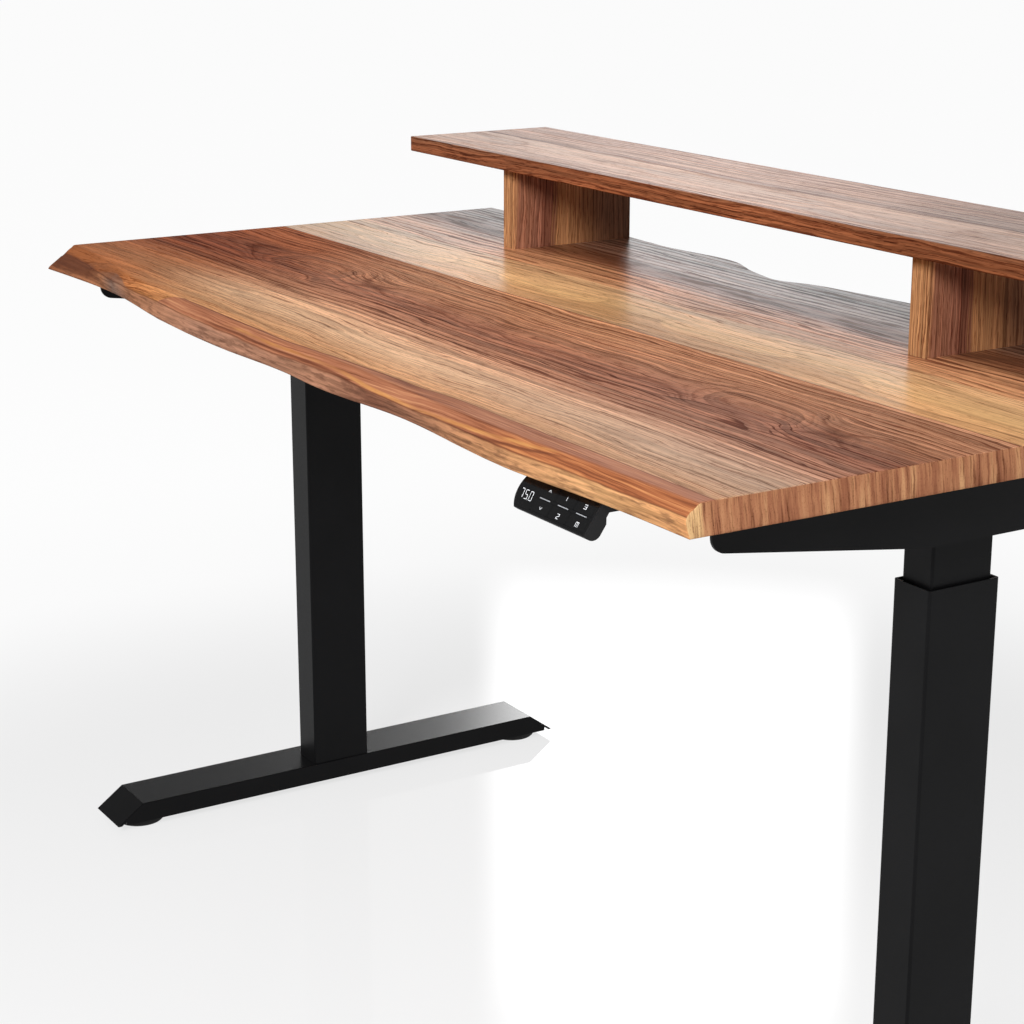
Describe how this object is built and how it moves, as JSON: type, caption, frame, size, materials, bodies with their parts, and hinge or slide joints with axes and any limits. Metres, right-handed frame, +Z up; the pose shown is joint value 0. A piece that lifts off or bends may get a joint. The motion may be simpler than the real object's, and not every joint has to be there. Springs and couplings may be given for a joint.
{
  "type": "height-adjustable desk",
  "caption": "Height-adjustable desk with a live-edge wooden top, a riser shelf, telescoping steel columns on sheet-steel feet and a tilted keypad.",
  "frame": {"origin": "on the floor, under the middle of the desk top", "axes": "+X along the desk to the user's right, +Y to the back, +Z up"},
  "size_m": [1.43, 0.738, 0.9047],
  "materials": {
    "walnut": "satin oiled walnut with brown and tan boards",
    "beech": "plain turned dowel",
    "black_steel": "satin black powder coat",
    "bright_steel": "plain zinc-plated steel",
    "motor_steel": "dark plated can",
    "bronze": "machined",
    "black_plastic": "fine moulded texture",
    "cast_aluminium": "die cast",
    "black_rubber": "moulded",
    "gloss_black": "polished black",
    "circuit_board": "green solder resist",
    "white_light": "milky light guide"
  },
  "bodies": {
    "base": {"foot_left": "black_steel", "foot_right": "black_steel", "outer_tube_left": "black_steel", "outer_tube_right": "black_steel", "base_plate_left": "bright_steel", "base_plate_right": "bright_steel", "guide_collar_left": "black_plastic", "guide_collar_right": "black_plastic", "nut_tube_left": "bright_steel", "nut_tube_right": "bright_steel", "spindle_nut_left": "bronze", "spindle_nut_right": "bronze", "foot_bolts": "bright_steel", "levelling_inserts": "bright_steel"},
    "desk": {"tabletop": "walnut", "riser_board": "walnut", "riser_dowels": "beech", "riser_support_left": "walnut", "riser_support_right": "walnut", "inner_tube_left": "black_steel", "inner_tube_right": "black_steel", "slide_shoe_left": "black_plastic", "slide_shoe_right": "black_plastic", "gearbox_left": "cast_aluminium", "gearbox_right": "cast_aluminium", "motor_left": "motor_steel", "motor_right": "motor_steel", "column_head_left": "black_steel", "column_head_right": "black_steel", "side_arm_left": "black_steel", "side_arm_right": "black_steel", "cross_rail_front": "black_steel", "cross_rail_back": "black_steel", "spindle_bearings": "bright_steel", "frame_bolts": "bright_steel", "wood_screws": "bright_steel", "control_plate": "black_plastic", "control_cover": "black_plastic", "control_board": "circuit_board", "control_sockets": "black_plastic", "keypad_housing": "black_plastic", "keypad_face": "gloss_black", "keypad_board": "circuit_board", "key_light_bars": "white_light", "display_window": "gloss_black"},
    "spindle_left": {"spindle_left": "bright_steel"},
    "spindle_right": {"spindle_right": "bright_steel"},
    "levelling_foot_left_front": {"levelling_foot_left_front": "black_rubber"},
    "levelling_foot_left_back": {"levelling_foot_left_back": "black_rubber"},
    "levelling_foot_right_front": {"levelling_foot_right_front": "black_rubber"},
    "levelling_foot_right_back": {"levelling_foot_right_back": "black_rubber"},
    "key_up": {"key_up": "gloss_black"},
    "key_down": {"key_down": "gloss_black"},
    "key_1": {"key_1": "gloss_black"},
    "key_2": {"key_2": "gloss_black"},
    "key_3": {"key_3": "gloss_black"},
    "key_memory": {"key_memory": "gloss_black"}
  },
  "joints": [
    {"name": "lift", "type": "slide", "parent": "base", "child": "desk", "axis": [0, 0, 1], "range_m": [-0.045, 0.43]},
    {"name": "spindle_left_turn", "type": "hinge", "parent": "desk", "child": "spindle_left", "pos_m": [-0.62, 0, 0.4], "axis": [0, 0, 1], "continuous": true},
    {"name": "spindle_right_turn", "type": "hinge", "parent": "desk", "child": "spindle_right", "pos_m": [0.62, 0, 0.4], "axis": [0, 0, 1], "continuous": true},
    {"name": "levelling_foot_left_front_screw", "type": "slide", "parent": "base", "child": "levelling_foot_left_front", "axis": [0, 0, -1], "range_m": [0, 0.01]},
    {"name": "levelling_foot_left_back_screw", "type": "slide", "parent": "base", "child": "levelling_foot_left_back", "axis": [0, 0, -1], "range_m": [0, 0.01]},
    {"name": "levelling_foot_right_front_screw", "type": "slide", "parent": "base", "child": "levelling_foot_right_front", "axis": [0, 0, -1], "range_m": [0, 0.01]},
    {"name": "levelling_foot_right_back_screw", "type": "slide", "parent": "base", "child": "levelling_foot_right_back", "axis": [0, 0, -1], "range_m": [0, 0.01]},
    {"name": "key_up_press", "type": "slide", "parent": "desk", "child": "key_up", "axis": [0, 0.8241, -0.5664], "range_m": [0, 0.0008], "stiffness_N_per_m": 1500, "springref_m": -0.0005},
    {"name": "key_down_press", "type": "slide", "parent": "desk", "child": "key_down", "axis": [0, 0.8241, -0.5664], "range_m": [0, 0.0008], "stiffness_N_per_m": 1500, "springref_m": -0.0005},
    {"name": "key_1_press", "type": "slide", "parent": "desk", "child": "key_1", "axis": [0, 0.8241, -0.5664], "range_m": [0, 0.0008], "stiffness_N_per_m": 1500, "springref_m": -0.0005},
    {"name": "key_2_press", "type": "slide", "parent": "desk", "child": "key_2", "axis": [0, 0.8241, -0.5664], "range_m": [0, 0.0008], "stiffness_N_per_m": 1500, "springref_m": -0.0005},
    {"name": "key_3_press", "type": "slide", "parent": "desk", "child": "key_3", "axis": [0, 0.8241, -0.5664], "range_m": [0, 0.0008], "stiffness_N_per_m": 1500, "springref_m": -0.0005},
    {"name": "key_memory_press", "type": "slide", "parent": "desk", "child": "key_memory", "axis": [0, 0.8241, -0.5664], "range_m": [0, 0.0008], "stiffness_N_per_m": 1500, "springref_m": -0.0005}
  ],
  "couplings": [
    {"joint": "spindle_left_turn", "follows": "lift", "rad_per_m": 628.32},
    {"joint": "spindle_right_turn", "follows": "lift", "rad_per_m": 628.32}
  ]
}
